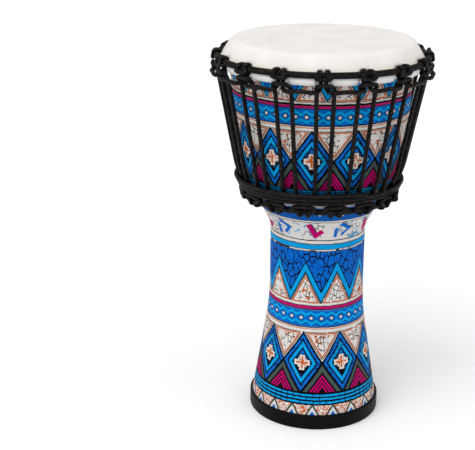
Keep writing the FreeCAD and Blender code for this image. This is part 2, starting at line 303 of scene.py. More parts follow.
def surface(name, paints, scale, roughness, grain, depth, band=None, spots=(0.52, 0.24),
            **sockets):
    """A finely uneven finish: two colours, a roughness range and a grain of a given size.

    spots is where in the noise the second colour starts, and how softly.
    band is a soft band round the piece: its colour, the colour of all that is under it, which
    is painted light, its height and half its width.
    """
    material = bpy.data.materials.new(name)
    material.use_nodes = True
    tree = material.node_tree
    shader = tree.nodes["Principled BSDF"]
    place = tree.nodes.new("ShaderNodeTexCoord").outputs["Object"]

    def noise(size, detail):
        node = tree.nodes.new("ShaderNodeTexNoise")
        node.inputs["Scale"].default_value = size
        node.inputs["Detail"].default_value = detail
        tree.links.new(place, node.inputs["Vector"])
        return Field(tree, node.outputs[0])

    def mixed(mask, paint):
        mix = tree.nodes.new("ShaderNodeMix")
        mix.data_type = "RGBA"
        tree.links.new(mask.socket, mix.inputs[0])
        mix.inputs[7].default_value = paint
        return mix

    patches = noise(scale, 4.0)
    mix = mixed(patches.above(*spots), paints[1])
    mix.inputs[6].default_value = paints[0]
    if band:
        paint, painted_light_under, height, reach = band
        apart = tree.nodes.new("ShaderNodeSeparateXYZ")
        tree.links.new(place, apart.inputs[0])
        uneven = (noise(120, 2.0) - 0.5) * reach
        rise = Field(tree, apart.outputs[2]) - height
        # The second mask paints all under the band a paler colour: painted light on a shaded part.
        for mask, laid in ((abs(rise + uneven).below(reach * 0.7, reach * 0.8), paint),
                           (rise.below(-2 * reach, reach), painted_light_under)):
            below = mix
            mix = mixed(mask, laid)
            tree.links.new(below.outputs[2], mix.inputs[6])
    tree.links.new(mix.outputs[2], shader.inputs["Base Color"])
    low, high = roughness
    rough = patches.scaled(high - low, low)
    tree.links.new(rough.socket, shader.inputs["Roughness"])
    bump(tree, noise(grain, 3.0), shader, 0.5, depth)
    for socket, value in sockets.items():
        shader.inputs[socket.replace("_", " ")].default_value = value
    return material


# ---- meshes ----

def piece(name, points, faces, material, body):
    """A smooth mesh object in its material slot, riding on a body if it has just one."""
    mesh = bpy.data.meshes.new(name)
    mesh.from_pydata([tuple(point) for point in points], [], faces)
    mesh.polygons.foreach_set("use_smooth", [True] * len(mesh.polygons))
    mesh.materials.append(material)
    mesh.update()
    made = bpy.data.objects.new(name, mesh)
    bpy.context.scene.collection.objects.link(made)
    if body:
        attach(made, body)
    return made


def grid_faces(rows, columns, wrap_rows=False, wrap_columns=True):
    """Quads of a grid of points, row by row, closed on itself where asked."""
    faces = []
    for row in range(rows if wrap_rows else rows - 1):
        for column in range(columns if wrap_columns else columns - 1):
            after, beside = (row + 1) % rows, (column + 1) % columns
            faces.append((row * columns + column, row * columns + beside,
                          after * columns + beside, after * columns + column))
    return faces


# ---- ropes ----

ROPE_RADIUS = 2.2 * MM
# The rope is thinner in the two overhand knots, which are pulled tight.
KNOT_ROPE_RADIUS = 1.6 * MM
ROPE_STEP = 0.65 * MM
ROPE_STRANDS = 5
SLEEVE_STRANDS = 8
# How deep the grooves between the strands are, as a share of the rope's radius.
BRAID_DEPTH = 0.15
# A rope is pressed flat where its line passes a ring's: fully at the first distance and not
# at all at the second, in millimetres. It gets thinner towards the ring and a little wider.
PRESSED = (4.9, 6.2)
PRESS_THINNER = 0.42
PRESS_WIDER = 0.1


def along_spline(places):
    """Points read along the NURBS spline that has these places as its control points."""
    curve = bpy.data.curves.new("route", "CURVE")
    curve.dimensions = "3D"
    curve.resolution_u = 12
    spline = curve.splines.new("NURBS")
    spline.points.add(len(places) - 1)
    for point, place in zip(spline.points, places):
        point.co = (*place, 1.0)
    spline.order_u = 3
    spline.use_endpoint_u = True
    route = bpy.data.objects.new("route", curve)
    mesh = bpy.data.meshes.new_from_object(route)
    line = np.array([vertex.co for vertex in mesh.vertices])
    bpy.data.objects.remove(route)
    bpy.data.curves.remove(curve)
    bpy.data.meshes.remove(mesh)
    return line


def evenly(line, step):
    """The same line with its points a step apart."""
    gone = np.concatenate(([0.0], np.cumsum(np.linalg.norm(np.diff(line, axis=0), axis=1))))
    count = max(4, int(round(gone[-1] / step)))
    places = np.linspace(0, gone[-1], count + 1)
    return np.stack([np.interp(places, gone, line[:, axis]) for axis in range(3)], axis=1)


def frames(line, closed):
    """A pair of directions across the line at each point, turning as little as they can."""
    ahead = np.roll(line, -1, axis=0) - np.roll(line, 1, axis=0)
    if not closed:
        ahead[0], ahead[-1] = line[1] - line[0], line[-1] - line[-2]
    ahead /= np.linalg.norm(ahead, axis=1)[:, None]
    across = np.zeros_like(line)
    guess = np.array([0.0, 0.0, 1.0]) if abs(ahead[0][2]) < 0.9 else np.array([1.0, 0.0, 0.0])
    for index, direction in enumerate(ahead):
        guess = guess - direction * guess.dot(direction)
        guess /= np.linalg.norm(guess)
        across[index] = guess
    return across, np.cross(ahead, across)


def eased(share):
    """A share from 0 to 1 with a gentle start and end."""
    return share * share * (3 - 2 * share)


def flattened(offsets, line, ring):
    """A rope's offsets from its line, pressed flat towards a ring where it passes close by."""
    away = np.hypot(line[:, 0], line[:, 1])
    aside, above = away - ring.radius, line[:, 2] - ring.height
    distance = np.hypot(aside, above)
    toward = np.stack([line[:, 0] / away * aside, line[:, 1] / away * aside, above], axis=1)
    toward /= distance[:, None]
    full, none = (reach * MM for reach in PRESSED)
    near = eased(np.clip((none - distance) / (none - full), 0, 1))
    across = (offsets * toward[:, None, :]).sum(axis=2)[:, :, None] * toward[:, None, :]
    wider = offsets * (1 + PRESS_WIDER * near)[:, None, None]
    return wider - across * (near * PRESS_THINNER)[:, None, None]


def braided(name, line, radius, body, strands=ROPE_STRANDS, closed=False, ring=None):
    """A braided rope swept along a line: strands that cross over and under each other.

    A closed one ends where it starts. One with a ring is pressed flat against that ring.
    """
    line = evenly(line, ROPE_STEP)
    if closed:
        line = line[:-1]
    across, over = frames(line, closed)
    sides = strands * 4
    rows = len(line)
    # An even number of crossings, each about a cell long, so that a closed braid meets itself.
    cell = FULL_TURN * radius / strands * 0.92
    turns = max(1, round(rows * ROPE_STEP / cell / 2)) * 2
    travelled = np.arange(rows)[:, None] * (turns / rows)
    lap = (np.arange(sides) * (strands / sides))[None, :]
    one, other = lap + travelled, lap - travelled
    top = (np.floor(one) + np.floor(other)) % 2 < 0.5
    ridge = np.sin(math.pi * (one % 1))
    ridge_other = np.sin(math.pi * (other % 1))
    relief = np.where(top, ridge * (0.45 + 0.55 * ridge_other),
                      ridge_other * (0.45 + 0.55 * ridge))
    width = radius * (1 - BRAID_DEPTH + BRAID_DEPTH * 1.35 * relief)
    # An open rope's ends are rounded off over their last two points.
    if not closed:
        ends = np.minimum(np.arange(rows), rows - 1 - np.arange(rows)) / 2.0
        width = width * np.minimum(1.0, 0.72 + 0.28 * np.minimum(ends, 1.0))[:, None]
    angle = np.arange(sides) * FULL_TURN / sides
    offsets = (across[:, None, :] * (width * np.cos(angle))[:, :, None]
               + over[:, None, :] * (width * np.sin(angle))[:, :, None])
    if ring:
        offsets = flattened(offsets, line, ring)
    points = (line[:, None, :] + offsets).reshape(-1, 3)
    faces = grid_faces(rows, sides, wrap_rows=closed)
    if not closed:
        faces.append(tuple(reversed(range(sides))))
        faces.append(tuple(range((rows - 1) * sides, rows * sides)))
    return piece(name, points, faces, ROPE, body)


def ring_line(ring):
    """A ring's centre line, its last point on its first."""
    count = 720
    return np.array([ring.beside(360.0 * step / count) for step in range(count + 1)])


# ---- hitches: laid as the drum's CAD ropes are, but a little closer to the rings ----
# Places beside a ring are in millimetres along it, out from it and up from it.

# How far out and up from a ring's centre line the rope's own passes as it wraps round it.
WRAP = 4.1
HAND = np.random.default_rng(16)


def slack(most):
    """A small random shift either way, as a hand leaves it, in millimetres."""
    return float(HAND.uniform(-most, most))


def half_hitch(ring, bearing, side, up, neck, bar, reach, tilt=0.0):
    """Half of a cow hitch on a ring, from its standing strand to the middle of its bar.

    side is -1 or 1, and up is 1 where the rope comes from below and -1 where from above.
    neck is how far short of the ring's centre line the strand passes behind it, bar is how
    far past that line the bar's middle lies, and reach is how far the bar spreads to its
    side. tilt lifts one side of the hitch and lowers the other. All are in millimetres.
    """
    places = ((2.4, -WRAP, -up * neck), (3.4, -WRAP, up * WRAP), (4.3, WRAP, up * WRAP),
              (4.5, WRAP * 1.1, up * 0.6), (reach, 5.0, up * (2.6 - bar)),
              (reach - 1.2, 4.7, -up * bar))
    return [ring.beside(bearing, side * along, out, rise + tilt * side)
            for along, out, rise in places]


# The cradle rope's ends are joined half a step past the knot on the right.
RIGHT_KNOT = FIRST_KNOT + 90
CRADLE_JOINT = RIGHT_KNOT + KNOT_STEP / 2


def cradle_route():
    """A cow hitch on the crown ring at each knot, and a span to the next."""
    places = []
    for knot in range(1, KNOTS + 1):
        bearing = RIGHT_KNOT + knot * KNOT_STEP
        tilt = slack(0.5)
        bar = 3.3 + slack(0.3)
        for side in (-1, 1):
            half = [CROWN.beside(bearing, side * 8.6, 6.0, -15.4),
                    CROWN.beside(bearing, side * 2.4, 0.6, -13.8)]
            half += half_hitch(CROWN, bearing, side, 1, 1.4, bar, 7.2, tilt)
            places += half if side < 0 else half[::-1]
        places.append(CROWN.beside(bearing + KNOT_STEP / 2, slack(2), 5.4, -14.0 + slack(0.4)))
    # The rope's two ends meet in the joining knot, in the middle of the last span.
    middle = places.pop()
    along = polar(1, CRADLE_JOINT + 90, 0)
    start, end = middle + along * 4 * MM, middle - along * 4 * MM
    return [start, start + along * 1.5 * MM] + places + [end - along * 1.5 * MM, end]


def lean(bearing):
    """How far round the drum, in degrees, the runs at a knot have slipped."""
    return 1.2 - 1.2 * math.sin(math.radians(bearing))


# The spare rope's winding: where it starts, and how its radius and height grow each turn.
WINDING_START = 62
WINDING_TURNS = 3
WINDING_FOOT, WINDING_PITCH = 248.6, 4.15
WINDING_RADIUS, WINDING_SPREAD = 80.3, 2.0


def winding_height(bearing):
    """The height in millimetres of the winding's lowest turn over a bearing."""
    return WINDING_FOOT + WINDING_PITCH * ((bearing - WINDING_START) % 360) / 360


def base_hitch(bearing, side):
    """Half of a hitch on the bottom ring; its bar rises as far as the winding lets it."""
    bar = winding_height(bearing) - BASE.height / MM - 4.7
    return half_hitch(BASE, bearing, side, -1, 1.6, bar, 11.2)


# An upright run's straight part: the radius and height of its two ends, in millimetres, and
# how many degrees it stands to the side of its knot.
RUN_LOW, RUN_HIGH = (84.6, 266.5), (104.8, 369.5)
RUN_SIDE = 4.5


def tension_route():
    """Up and down the bowl: over each neck of the cradle, and hitched to the ring below."""
    places = []
    for knot in range(-2, KNOTS - 2):
        bearing = RIGHT_KNOT + knot * KNOT_STEP
        places += base_hitch(bearing - KNOT_STEP / 2, 1)[::-1]
        slip = lean(bearing)
        rise = slack(0.5)
        for side in (-1, 1):
            edge = bearing + slip + side * RUN_SIDE
            foot = bearing + slip / 2 + side * (KNOT_STEP / 2 - 6.3)
            low = polar(RUN_LOW[0] * MM, edge, RUN_LOW[1] * MM)
            high = polar(RUN_HIGH[0] * MM, edge, RUN_HIGH[1] * MM)
            # Half the slip, in millimetres: a degree of the crown ring is 1.8 long.
            across = slip / 2 * 1.8
            half = [polar(77.4 * MM, foot, 255.3 * MM), low, low.lerp(high, 0.24),
                    low.lerp(high, 0.76), high,
                    CROWN.beside(bearing, side * 8.0 + across, 3.4, -9.8 + rise),
                    CROWN.beside(bearing, side * 4.0 + across, 4.6, -8.3 + rise)]
            places += half if side < 0 else half[::-1]
        places += base_hitch(bearing + KNOT_STEP / 2, -1)
    # The two ends meet in the middle of the first hitch, half a step before the first knot.
    start = RIGHT_KNOT - 2.5 * KNOT_STEP
    middle = (places[0] + places[-1]) / 2
    across = polar(0.2 * MM, start + 90, 0)
    return [middle + across] + places + [middle - across]


def surplus_route():
    """The spare rope: three turns up and round the bowl, outside the upright runs."""
    steps = 12
    places = [polar(86.6 * MM, WINDING_START, WINDING_FOOT * MM)]
    for step in range(1, steps * WINDING_TURNS):
        turn = step / steps
        radius = (WINDING_RADIUS + WINDING_SPREAD * turn) / math.cos(math.pi / steps)
        height = WINDING_FOOT + WINDING_PITCH * turn
        places.append(polar(radius * MM, WINDING_START + 360 * turn, height * MM))
    return places


KNOT_WIDTH, KNOT_LENGTH = 2.3 * MM, 5.5 * MM


def overhand(middle, along):
    """A tight overhand knot on a rope that runs along a direction."""
    along = along.normalized()
    aside = along.cross(Vector((0, 0, 1))).normalized()
    rise = aside.cross(along)
    turns = ((-1.0, 0.0, 0.0), (-0.55, 0.3, 0.9), (0.1, -0.9, 0.75), (0.6, -0.75, -0.6),
             (0.15, 0.45, -1.0), (-0.5, 1.0, 0.0), (-0.1, 0.5, 1.0), (0.55, -0.35, 0.9),
             (0.45, -1.0, -0.3), (-0.35, -0.6, -0.95), (0.2, 0.75, -0.75), (0.6, 0.35, 0.1),
             (1.0, 0.0, 0.0))
    return [middle + along * a * KNOT_LENGTH + aside * s * KNOT_WIDTH + rise * r * KNOT_WIDTH
            for a, s, r in turns]


# ---- the printed cloth ----

class Outline:
    """The outside of a turned CAD node, as a radius at each height."""

    def __init__(self, node):
        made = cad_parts[node]
        vertices = np.array([tuple(made.matrix_world @ vertex.co) for vertex in made.data.vertices])
        faces = [tuple(face.vertices) for face in made.data.polygons]
        self.tree = BVHTree.FromPolygons([Vector(vertex) for vertex in vertices], faces)
        self.low, self.high = vertices[:, 2].min(), vertices[:, 2].max()

    def radius(self, height):
        """The radius at a height, found by rays from well outside towards the axis."""
        inset = 0.05 * MM
        height = min(max(height, self.low + inset), self.high - inset)
        reach = 1.0
        found = []
        for bearing in range(0, 360, 11):
            start = polar(reach, bearing, height)
            hit = self.tree.ray_cast(start, Vector((-start.x, -start.y, 0)))[0]
            if hit:
                found.append(hit.xy.length)
        return max(found)


SHEET = 0.5 * MM
GLUE = 0.05 * MM
# The cloth goes round from the first bearing to the second, and so past itself at the back.
CLOTH_START, CLOTH_END = -184.0, 180.0
# Between these bearings it rises over its own start.
CLOTH_RISES, CLOTH_RISEN = 171.0, 175.0


def wrapped(name, node, material):
    """A sheet of cloth round the shell, its end glued down over its start at the back."""
    outline = Outline(node)
    low, high = (corner.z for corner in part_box(node))
    rows = int((high - low) / (1.5 * MM))
    columns = 300
    heights = np.linspace(low, high, rows)
    radii = np.array([outline.radius(height) for height in heights])
    bearings = np.linspace(CLOTH_START, CLOTH_END, columns)
    points = []
    for inside in (0, 1):
        for height, radius in zip(heights, radii):
            for bearing in bearings:
                risen = (bearing - CLOTH_RISES) / (CLOTH_RISEN - CLOTH_RISES)
                lift = eased(min(max(risen, 0), 1)) * (SHEET + GLUE)
                points.append(polar(radius + lift - inside * SHEET, bearing, height))
    half = rows * columns
    faces = grid_faces(rows, columns, wrap_columns=False)
    faces += [tuple(half + corner for corner in reversed(face)) for face in faces]
    rim = ([column for column in range(columns)]
           + [row * columns + columns - 1 for row in range(1, rows)]
           + [(rows - 1) * columns + column for column in range(columns - 2, -1, -1)]
           + [row * columns for row in range(rows - 2, 0, -1)])
    for here, there in zip(rim, rim[1:] + rim[:1]):
        faces.append((there, here, here + half, there + half))
    made = piece(name, points, faces, material, "drum")
    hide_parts(node)


def dotted_band(cloth, middle, half, start, step, radius):
    """A blue band with a row of white dots between two mirrored light zigzags."""
    dots = abs(cloth.across(start, step, radius))
    away = abs(cloth.up - middle)
    cloth.stripes((BLUE, middle - half, middle + half))
    inside = cloth.up.within(middle - half, middle + half)
    reach = half * 0.69
    lines = abs(away - (dots * -0.62 + reach))
    cloth.lay(BLACK, lines.below(2.3, 0.3) * inside * cloth.noise(260, shift=6).above(0.47, 0.05))
    cloth.lay(SKY, lines.below(1.6, 0.3) * inside)
    spot = dots.maths("POWER", dots, 2.0) + away.maths("POWER", away, 2.0)
    cloth.lay(BLACK, spot.below(5.6, 1.0))
    cloth.lay(WHITE, spot.below(2.4, 1.0))


def scribbles(cloth, inside, shift):
    """Cracked black lines and some curling orange ones, inside a mask."""
    cloth.lay(ORANGE, inside * cloth.curls(120, 0.04, shift + 2)
              * cloth.noise(48, shift=shift).above(0.55, 0.04))
    cloth.lay(BLACK, inside * cloth.cracks(4.2, 0.34, shift, tall=1.3))


def framed(cloth, inset, inside, shift, margin=1.5):
    """A white triangle: its margin, a thin black line, an orange outline, and scribbles."""
    cloth.lay(WHITE, inside)
    cloth.lay(BLACK, inset.within(margin, margin + 0.8) * inside
              * cloth.noise(180, shift=shift).above(0.36, 0.05))
    cloth.lay(ORANGE, inset.within(margin + 1.1, margin + 2.5, 0.4) * inside
              * cloth.noise(210, shift=shift + 1).above(0.36, 0.06))
    scribbles(cloth, inset.above(margin + 3.2) * inside, shift)


def diamonds(cloth, sideways, middle, half_width, half_height, top):
    """A row of nested blue diamonds, with white triangles above and moss ones below."""
    x = abs(sideways)
    rise = cloth.up - middle
    y = abs(rise)
    reach = x * (1 / half_width) + y * (1 / half_height)
    slope = 1 / math.hypot(1 / half_width, 1 / half_height)
    zone = cloth.up.within(middle - half_height, top)
    outside = (reach - 1.0) * slope
    # Between the diamonds: chevrons below, a white triangle above.
    lower = rise.below(0.0) * zone
    cloth.lay(BLACK, lower)
    cloth.lay(MOSS, outside.within(1.3, 4.7) * lower)
    cloth.lay(MAGENTA, abs(outside.repeated(6.0, 2.75)).above(0.55) * lower
              * outside.within(6.0, 14.6))
    inset = outside.smallest(cloth.up * -1.0 + top + 0.9)
    framed(cloth, inset, rise.above(0.0) * zone * outside.above(0.0), 11)
    # The nested rings, from the outside in.
    for paint, edge in ((BLACK, 1.05), (BLUE, 0.935), (BLACK, 0.785), (SKY, 0.69),
                        (BLACK, 0.515), (BLUE, 0.425)):
        cloth.lay(paint, reach.below(edge, 0.012) * zone)
    hatched = reach.within(0.77, 0.96, 0.02).largest(reach.within(0.49, 0.7, 0.02) * rise.above(0))
    cloth.lay(BLACK, cloth.cracks(2.6, 0.25, 3, tall=1.8) * hatched
              * cloth.noise(60, shift=4).above(0.5, 0.05) * zone)
    cloth.lay(BLACK, reach.below(0.44, 0.02) * rise.below(1.0, 2.0)
              * cloth.noise(150, shift=8).above(0.4, 0.06))

    def cross(grown):
        wide = x.below(8.0 + grown) * y.below(2.8 + grown)
        tall = x.below(2.8 + grown) * y.below(8.0 + grown)
        return wide.largest(tall).largest(x.below(4.6 + grown) * y.below(4.6 + grown))

    cloth.lay(BLACK, cross(0.9) * cloth.noise(130, shift=19).above(0.4, 0.06))
    cloth.lay(WHITE, cross(0.0))
    strokes = x.below(0.9).largest(y.below(0.9)) * x.below(6.5) * y.below(6.5)
    marks = strokes.largest(cloth.curls(260, 0.05, 12) * x.below(4.6) * y.below(4.6))
    cloth.lay(ORANGE, marks * cloth.noise(240, shift=13).above(0.4, 0.06))


def stroke(x, y, start, end, width):
    """A thick straight stroke between two points, as a mask."""
    run = math.dist(start, end)
    along = ((end[0] - start[0]) / run, (end[1] - start[1]) / run)
    ahead = (x - start[0]) * along[0] + (y - start[1]) * along[1]
    aside = (x - start[0]) * along[1] - (y - start[1]) * along[0]
    return ahead.within(0, run) * abs(aside).below(width / 2)


def dashes(cloth, middle, half, step, radius):
    """A light blue line, cut into dashes by short black ticks."""
    cloth.stripes((SKY, middle - half, middle + half))
    ticks = abs(cloth.across(0, step, radius)).below(0.45)
    cloth.lay(BLACK, ticks * cloth.up.within(middle - half, middle + half)
              * cloth.noise(90, shift=middle).above(0.47, 0.04))


PRINT_ROUGHNESS = 0.62
# Both prints are laid in bands from the top down, at heights in millimetres from the floor.


def bowl_cloth():
    """The print round the bowl."""
    cloth = Cloth("bowl_print", WHITE, 87)
    # The motifs are a little wider on the left than on the right.
    turned = cloth.bearing + 5.0
    wave = turned.maths("COSINE", turned * (1 / 60))
    drift = turned + wave * 6.84 - 6.84
    # The top row of light blue wedges between white trapezoids.
    sideways = abs(drift.repeated(-10.9, 19.6))
    wedge = (sideways * -1.0 + (cloth.up - 355.5) * 0.375) * 1.3
    inset = (wedge * -1.0).smallest(cloth.up - 352.2)
    framed(cloth, inset, wedge.below(0.0) * cloth.up.above(353), 21)
    for paint, edge in ((BLACK, -0.9), (SKY, 0.3), (BLACK, 2.9), (BLUE, 3.9)):
        cloth.lay(paint, wedge.above(edge) * cloth.up.above(353))
    cloth.stripes((WHITE, 352.2, 353.5), (BLACK, 350.1, 352.2), (MAGENTA, 348.0, 350.1),
                  (BLACK, 346.7, 348.0))
    dotted_band(cloth, 339.3, 7.8, -8.5, 6.68, 89.6)
    cloth.stripes((BLACK, 330.3, 331.6), (WHITE, 329.5, 330.3), (ORANGE, 328.5, 329.5),
                  (WHITE, 326.2, 328.5))
    diamonds(cloth, drift.repeated(0, 28.2) * 1.529, 294.8, 21.6, 30.6, 326.2)
    # The lines and the row of small triangles under the ropes.
    cloth.stripes((BLACK, 257, 264.4))
    for middle in (262.8, 260.2, 257.6):
        dashes(cloth, middle, 0.85, 4.1, 78.0)
    small = abs(cloth.across(0, 7.0, 70))
    cloth.lay(WHITE, cloth.up.below(256.4))
    triangles = (small - (cloth.up - 249) * 0.6).below(0.0)
    cloth.lay(ORANGE, triangles * cloth.up.within(249, 256.4))
    cloth.lay(BLUE, cloth.up.below(243))
    return cloth.finish(PRINT_ROUGHNESS)


def stem_cloth():
    """The print round the stem."""
    cloth = Cloth("stem_print", WHITE, 52)
    # A blue zigzag band under the ropes.
    cloth.stripes((BLUE, 227, 240))
    small = abs(cloth.across(2, 5.4, 58))
    lines = abs((cloth.up - small * 0.75).repeated(228.5, 2.9))
    cloth.lay(BLACK, lines.below(0.42) * cloth.up.within(227, 240))
    peaks = abs(cloth.across(2, 21.6, 58)) * 1.3 + cloth.up * -1.0 + 232.4
    cloth.lay(WHITE, peaks.below(0.0) * cloth.up.within(231, 240))
    cloth.stripes((BLACK, 226.6, 227.3), (WHITE, 224.9, 226.6), (BLACK, 224.2, 224.9))
    # Hooks and scribbles on a pale band.
    band = cloth.up.within(203.4, 224.2)
    cloth.lay(SKY, band * cloth.curls(60, 0.012, 33) * cloth.noise(70, shift=34).above(0.5, 0.05))
    cloth.lay(BLACK, band * cloth.cracks(4.6, 0.34, 31, tall=1.2)
              * cloth.noise(70, shift=38).above(0.49, 0.05))
    y = cloth.up - 213.5
    x = cloth.across(-3, 68, 52)
    long_arm = stroke(x, y, (-6.2, 8.2), (1.2, -6.8), 5.0)
    short_arm = stroke(x, y, (-0.8, -6.6), (8.2, 0.6), 5.0)
    cloth.lay(BLACK, stroke(x, y, (-3.6, 9.2), (4.2, -6.2), 1.2) * band)
    cloth.lay(MAGENTA, long_arm.largest(short_arm) * band)
    x = cloth.across(29, 68, 52)
    upper_arm = stroke(x, y, (-4.0, 8.6), (7.0, 2.0), 3.2)
    lower_arm = stroke(x, y, (7.2, 3.2), (-0.6, -5.6), 3.2)
    cloth.lay(BLACK, stroke(x, y, (-2.6, 9.8), (9.6, 2.4), 0.9) * band)
    cloth.lay(BLUE, upper_arm.largest(lower_arm) * band)
    cloth.lay(BLUE, stroke(x, y, (-7.6, 3.4), (-7.2, -7.4), 3.4) * band)
    cloth.lay(SKY, stroke(x, y, (-8.4, 4.6), (-1.0, -0.6), 1.1) * band)
    cloth.lay(SKY, stroke(x, y, (11.0, -3.2), (18.5, 2.0), 0.9) * band)
    cloth.stripes((BLACK, 202.4, 203.4), (WHITE, 199.2, 202.4), (BLACK, 198.2, 199.2),
                  (SKY, 193.6, 198.2), (BLACK, 192.9, 193.6), (WHITE, 191.6, 192.9),
                  (BLACK, 190.9, 191.6))
    cloth.lay(BLACK, cloth.up.within(191.6, 192.9) * cloth.noise(120, shift=5).above(0.55, 0.03))
    # White peaks, light blue peaks over them, and a crackled blue ground.
    ground = cloth.up.within(134.4, 190.9)
    cloth.lay(BLUE, ground)
    cloth.lay(NAVY, ground * cloth.curls(110, 0.02, 17))
    cloth.lay(BLACK, ground * cloth.cracks(5.6, 0.5, 15, tall=1.7))
    sideways = abs(cloth.across(-12.9, 38.2, 48.9))
    peak = cloth.up * -1.0 + 167.5 - sideways * 2.02
    for paint, edge in ((BLACK, -13.4), (SKY, -10.8), (BLACK, -2.0)):
        cloth.lay(paint, peak.above(edge) * ground)
    inset = (peak * 0.443).smallest(cloth.up - 133.6)
    framed(cloth, inset, peak.above(0.4) * ground, 41, margin=0.3)
    cloth.stripes((WHITE, 132.2, 134.4), (BLACK, 131.2, 132.2), (MAGENTA, 128.5, 131.2),
                  (BLACK, 127.2, 128.5))
    dotted_band(cloth, 118.3, 8.8, -4.7, 12.06, 48.9)
    cloth.stripes((BLACK, 108.2, 109.5), (WHITE, 107.5, 108.2), (ORANGE, 106.5, 107.5),
                  (WHITE, 104.0, 106.5))
    diamonds(cloth, cloth.across(-12.5, 42.2, 55.9), 70.9, 20.6, 32.0, 104.0)
    # Dashed lines and a row of small triangles over the rubber.
    cloth.stripes((BLACK, 26, 40))
    for middle in (36.6, 32.8, 28.9):
        dashes(cloth, middle, 1.0, 6.3, 63)
    low = cloth.up.below(26)
    cloth.lay(WHITE, low)
    small = abs(cloth.across(-9.9, 19.0, 66))
    zigzag = cloth.up - 8.4 - small * 1.6
    cloth.lay(ORANGE, low * zigzag.above(1.8) * cloth.curls(330, 0.055, 53))
    cloth.lay(MOSS, low * abs(zigzag).below(1.5))
    cloth.lay(BLUE, low * zigzag.below(-6.0))
    cloth.lay(BLACK, low * abs(zigzag - 1.6).below(0.5))
    return cloth.finish(PRINT_ROUGHNESS)


# ---- the skin ----

def softened(corners):
    """Points through (radius, height, bend) corners in millimetres, with rounded corners."""
    places = np.array([corner[:2] for corner in corners], float)
    points = [places[0]]
    for index in range(1, len(places) - 1):
        here = places[index]
        back, ahead = places[index - 1] - here, places[index + 1] - here
        back, ahead = back / np.linalg.norm(back), ahead / np.linalg.norm(ahead)
        turn = math.pi - math.acos(float(back.dot(ahead)))
        cut = corners[index][2] * math.tan(turn / 2)
        enter, leave = here + back * cut, here + ahead * cut
        points += [points[-1] + (enter - points[-1]) * share
                   for share in np.linspace(0, 1, 14)[1:-1]]
        points += [enter * (1 - t) ** 2 + here * 2 * t * (1 - t) + leave * t * t
                   for t in np.linspace(0, 1, 9)]
    points += [points[-1] + (places[-1] - points[-1]) * share for share in np.linspace(0, 1, 6)[1:]]
    return np.array(points) * MM


SKIN_THICK = 0.8 * MM
# How far from a knot the skin starts to belly out, and over how much more, in degrees.
PINCH, PINCH_FADE = 2.5, 1.9


def skin():
    """The head: flat, out and down from the rim, rolled in under the ring round its hoop.

    Between the knots it bellies out against the crown ring; at each knot the ropes press it in.
    """
    # Radii and heights in millimetres.
    top, hoop = CAD_BOX[1].z / MM, HOOP.radius / MM
    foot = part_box("drum_head")[0].z / MM
    inner, outer = hoop - 2.5, hoop + 2.5
    ring = (CROWN.radius - SLEEVE_RADIUS) / MM
    # Two profiles, from the middle of the head to the end of the roll round the hoop.
    playing = ((0.5, top, 0), (90.8, top, 9))
    tucked = ((inner, foot, 2.2), (inner, foot + 4.3, 0))
    pressed = softened(playing + ((outer + 1.5, 387.2, 5), (outer + 1.3, 376.5, 3),
                                  (outer, foot, 2.2)) + tucked)
    bellied = softened(playing + ((ring - 0.6, 383.6, 9), (ring + 2.6, 375.8, 3.4),
                                  (ring - 0.6, foot - 1.5, 2.6)) + tucked)
    columns = 640
    bearings = np.arange(columns) * 360.0 / columns
    from_knot = np.abs((bearings - FIRST_KNOT + KNOT_STEP / 2) % KNOT_STEP - KNOT_STEP / 2)
    share = eased(np.clip((from_knot - PINCH) / PINCH_FADE, 0, 1))
    random = np.random.default_rng(7)
    waves = sum(np.sin(np.radians(bearings) * count + random.uniform(0, FULL_TURN))
                for count in (19, 32, 41, 67))
    share = np.clip(share * (1 + 0.03 * waves), 0, 1)
    outline = pressed[None] * (1 - share[:, None, None]) + bellied[None] * share[:, None, None]
    ahead = np.gradient(outline, axis=1)
    ahead /= np.linalg.norm(ahead, axis=2)[:, :, None]
    inside = outline + np.stack([ahead[:, :, 1], -ahead[:, :, 0]], axis=2) * SKIN_THICK
    rows = outline.shape[1]
    points = [Vector((0, 0, top * MM))]
    for side in (outline, inside):
        for row in range(rows):
            points += [polar(side[column, row, 0], bearings[column], side[column, row, 1])
                       for column in range(columns)]
    points.append(Vector((0, 0, top * MM - SKIN_THICK)))
    shift = rows * columns
    one_side = grid_faces(rows, columns)
    faces = [tuple(corner + 1 for corner in reversed(face)) for face in one_side]
    faces += [tuple(corner + 1 + shift for corner in face) for face in one_side]
    last = len(points) - 1
    rim = 1 + (rows - 1) * columns
    for column in range(columns):
        beside = (column + 1) % columns
        faces.append((0, 1 + column, 1 + beside))
        faces.append((last, 1 + shift + beside, 1 + shift + column))
        faces.append((rim + beside, rim + column, rim + shift + column, rim + shift + beside))
    made = piece("skin_head", points, faces, SKIN, None)
    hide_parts("drum_head")
    return made


# ---- materials ----

# The rope's paler specks are partly paler fibres and partly painted highlights: glints of light on
# its strands.
ROPE = surface("braided_rope", (colour(3, 2, 2), colour(64, 58, 56)),
               scale=900, roughness=(0.35, 0.6), grain=2600, depth=0.2 * MM,
               spots=(0.6, 0.08), Specular_IOR_Level=0.1)
